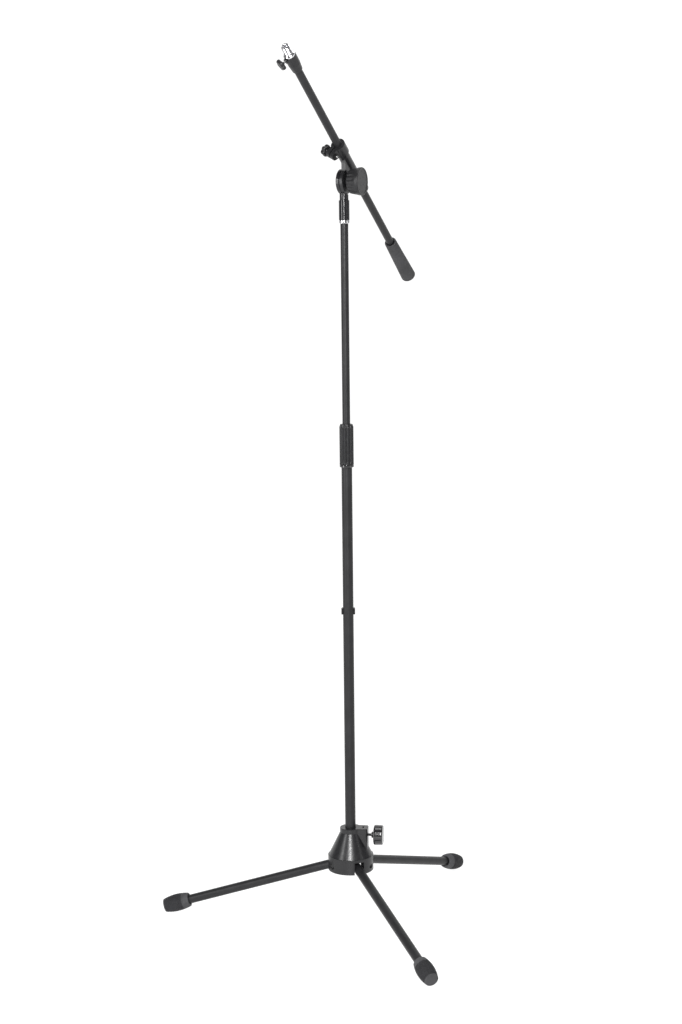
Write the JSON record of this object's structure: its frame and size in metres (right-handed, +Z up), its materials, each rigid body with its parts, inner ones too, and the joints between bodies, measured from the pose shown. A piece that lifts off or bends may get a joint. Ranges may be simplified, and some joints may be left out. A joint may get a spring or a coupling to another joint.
{
  "type": "microphone stand",
  "caption": "Tripod microphone stand with a folding-leg cast base, telescopic column, tilting head and sliding counterweighted boom ending in a screw thread.",
  "frame": {"origin": "on the column axis, on the floor under the three feet", "axes": "+Z up the column; the third leg's opposite side and the base knob point close to +X; the boom's front end reaches towards -Y"},
  "size_m": [0.6611, 0.7081, 1.798],
  "materials": {
    "cast_black": "satin black die casting",
    "powder_black": "satin black powder coat",
    "bright_steel": "zinc plated",
    "black_steel": "blackened steel",
    "chrome": "bright",
    "brass": "turned",
    "dark_plastic": "satin black moulding",
    "gloss_plastic": "glossy black moulding",
    "rubber": "matte dark grey",
    "coated_iron": "matte dark grey soft coating"
  },
  "bodies": {
    "base": {"base_casting": "cast_black", "leg_pins": "black_steel", "base_nut": "black_steel"},
    "leg_1": {"leg_tube_1": "powder_black", "leg_plug_1": "dark_plastic", "rubber_foot_1": "rubber"},
    "leg_2": {"leg_tube_2": "powder_black", "leg_plug_2": "dark_plastic", "rubber_foot_2": "rubber"},
    "leg_3": {"leg_tube_3": "powder_black", "leg_plug_3": "dark_plastic", "rubber_foot_3": "rubber"},
    "base_clamp": {"base_screw": "black_steel", "base_knob": "gloss_plastic"},
    "column": {"lower_tube": "powder_black", "column_plate": "dark_plastic", "cable_clip": "dark_plastic", "clutch_body": "dark_plastic", "collet": "dark_plastic"},
    "clutch": {"clutch_sleeve": "dark_plastic"},
    "height_guide": {"guide_bush": "dark_plastic"},
    "head": {"upper_tube": "powder_black", "lock_ring": "chrome", "swivel_head": "cast_black", "pivot_bolt": "black_steel"},
    "holder": {"boom_holder": "cast_black", "clamp_nut": "black_steel"},
    "tilt_clamp": {"tilt_knob": "dark_plastic", "tilt_insert": "brass"},
    "boom": {"boom_tube": "powder_black", "counterweight": "coated_iron", "boom_socket": "dark_plastic"},
    "boom_clamp": {"clamp_screw": "bright_steel", "clamp_knob": "dark_plastic"},
    "thumb": {"thumb_screw": "bright_steel", "thumb_knob": "dark_plastic"},
    "adapter": {"thread_adapter": "chrome"}
  },
  "joints": [
    {"name": "leg_fold_1", "type": "hinge", "parent": "base", "child": "leg_1", "pos_m": [-0.0352, 0.00463, 0.12235], "axis": [-0.1305, -0.9914, 0], "range_deg": [0, 73]},
    {"name": "leg_fold_2", "type": "hinge", "parent": "base", "child": "leg_2", "pos_m": [0.01358, -0.0328, 0.12235], "axis": [0.9239, 0.3827, 0], "range_deg": [0, 73]},
    {"name": "leg_fold_3", "type": "hinge", "parent": "base", "child": "leg_3", "pos_m": [0.02161, 0.02816, 0.12235], "axis": [-0.7934, 0.6088, 0], "range_deg": [0, 73]},
    {"name": "base_knob_turn", "type": "hinge", "parent": "base", "child": "base_clamp", "pos_m": [0.04957, -0.00653, 0.18626], "axis": [0.9914, -0.1305, 0], "range_deg": [0, 720]},
    {"name": "column_lift", "type": "slide", "parent": "base", "child": "column", "axis": [0, 0, 1], "range_m": [0, 0.005]},
    {"name": "clutch_twist", "type": "hinge", "parent": "column", "child": "clutch", "pos_m": [0, 0, 1.008], "axis": [0, 0, 1], "range_deg": [0, 180]},
    {"name": "height_slide", "type": "slide", "parent": "column", "child": "height_guide", "axis": [0, 0, 1], "range_m": [-0.4, 0.06]},
    {"name": "head_turn", "type": "hinge", "parent": "height_guide", "child": "head", "pos_m": [0, 0, 1.5449], "axis": [0, 0, 1], "continuous": true},
    {"name": "boom_tilt", "type": "hinge", "parent": "head", "child": "holder", "pos_m": [0, 0, 1.5449], "axis": [0.9135, -0.4067, 0], "range_deg": [-50, 96]},
    {"name": "tilt_knob_turn", "type": "hinge", "parent": "head", "child": "tilt_clamp", "pos_m": [0.01279, -0.00569, 1.5449], "axis": [0.9135, -0.4067, 0], "range_deg": [0, 720]},
    {"name": "boom_slide", "type": "slide", "parent": "holder", "child": "boom", "axis": [-0.3265, -0.7334, 0.5962], "range_m": [-0.22, 0.18]},
    {"name": "clamp_knob_turn", "type": "hinge", "parent": "holder", "child": "boom_clamp", "pos_m": [-0.03131, -0.02303, 1.60425], "axis": [-0.6699, 0.6246, 0.4014], "range_deg": [0, 720]},
    {"name": "thumb_knob_turn", "type": "hinge", "parent": "boom", "child": "thumb", "pos_m": [-0.11215, -0.23023, 1.76131], "axis": [-0.7535, -0.1788, -0.6326], "range_deg": [0, 720]},
    {"name": "adapter_turn", "type": "hinge", "parent": "boom", "child": "adapter", "pos_m": [-0.0992, -0.23142, 1.77784], "axis": [-0.3265, -0.7334, 0.5962], "continuous": true}
  ],
  "couplings": [
    {"joint": "leg_fold_2", "follows": "leg_fold_1", "ratio": 1},
    {"joint": "leg_fold_3", "follows": "leg_fold_1", "ratio": 1}
  ]
}
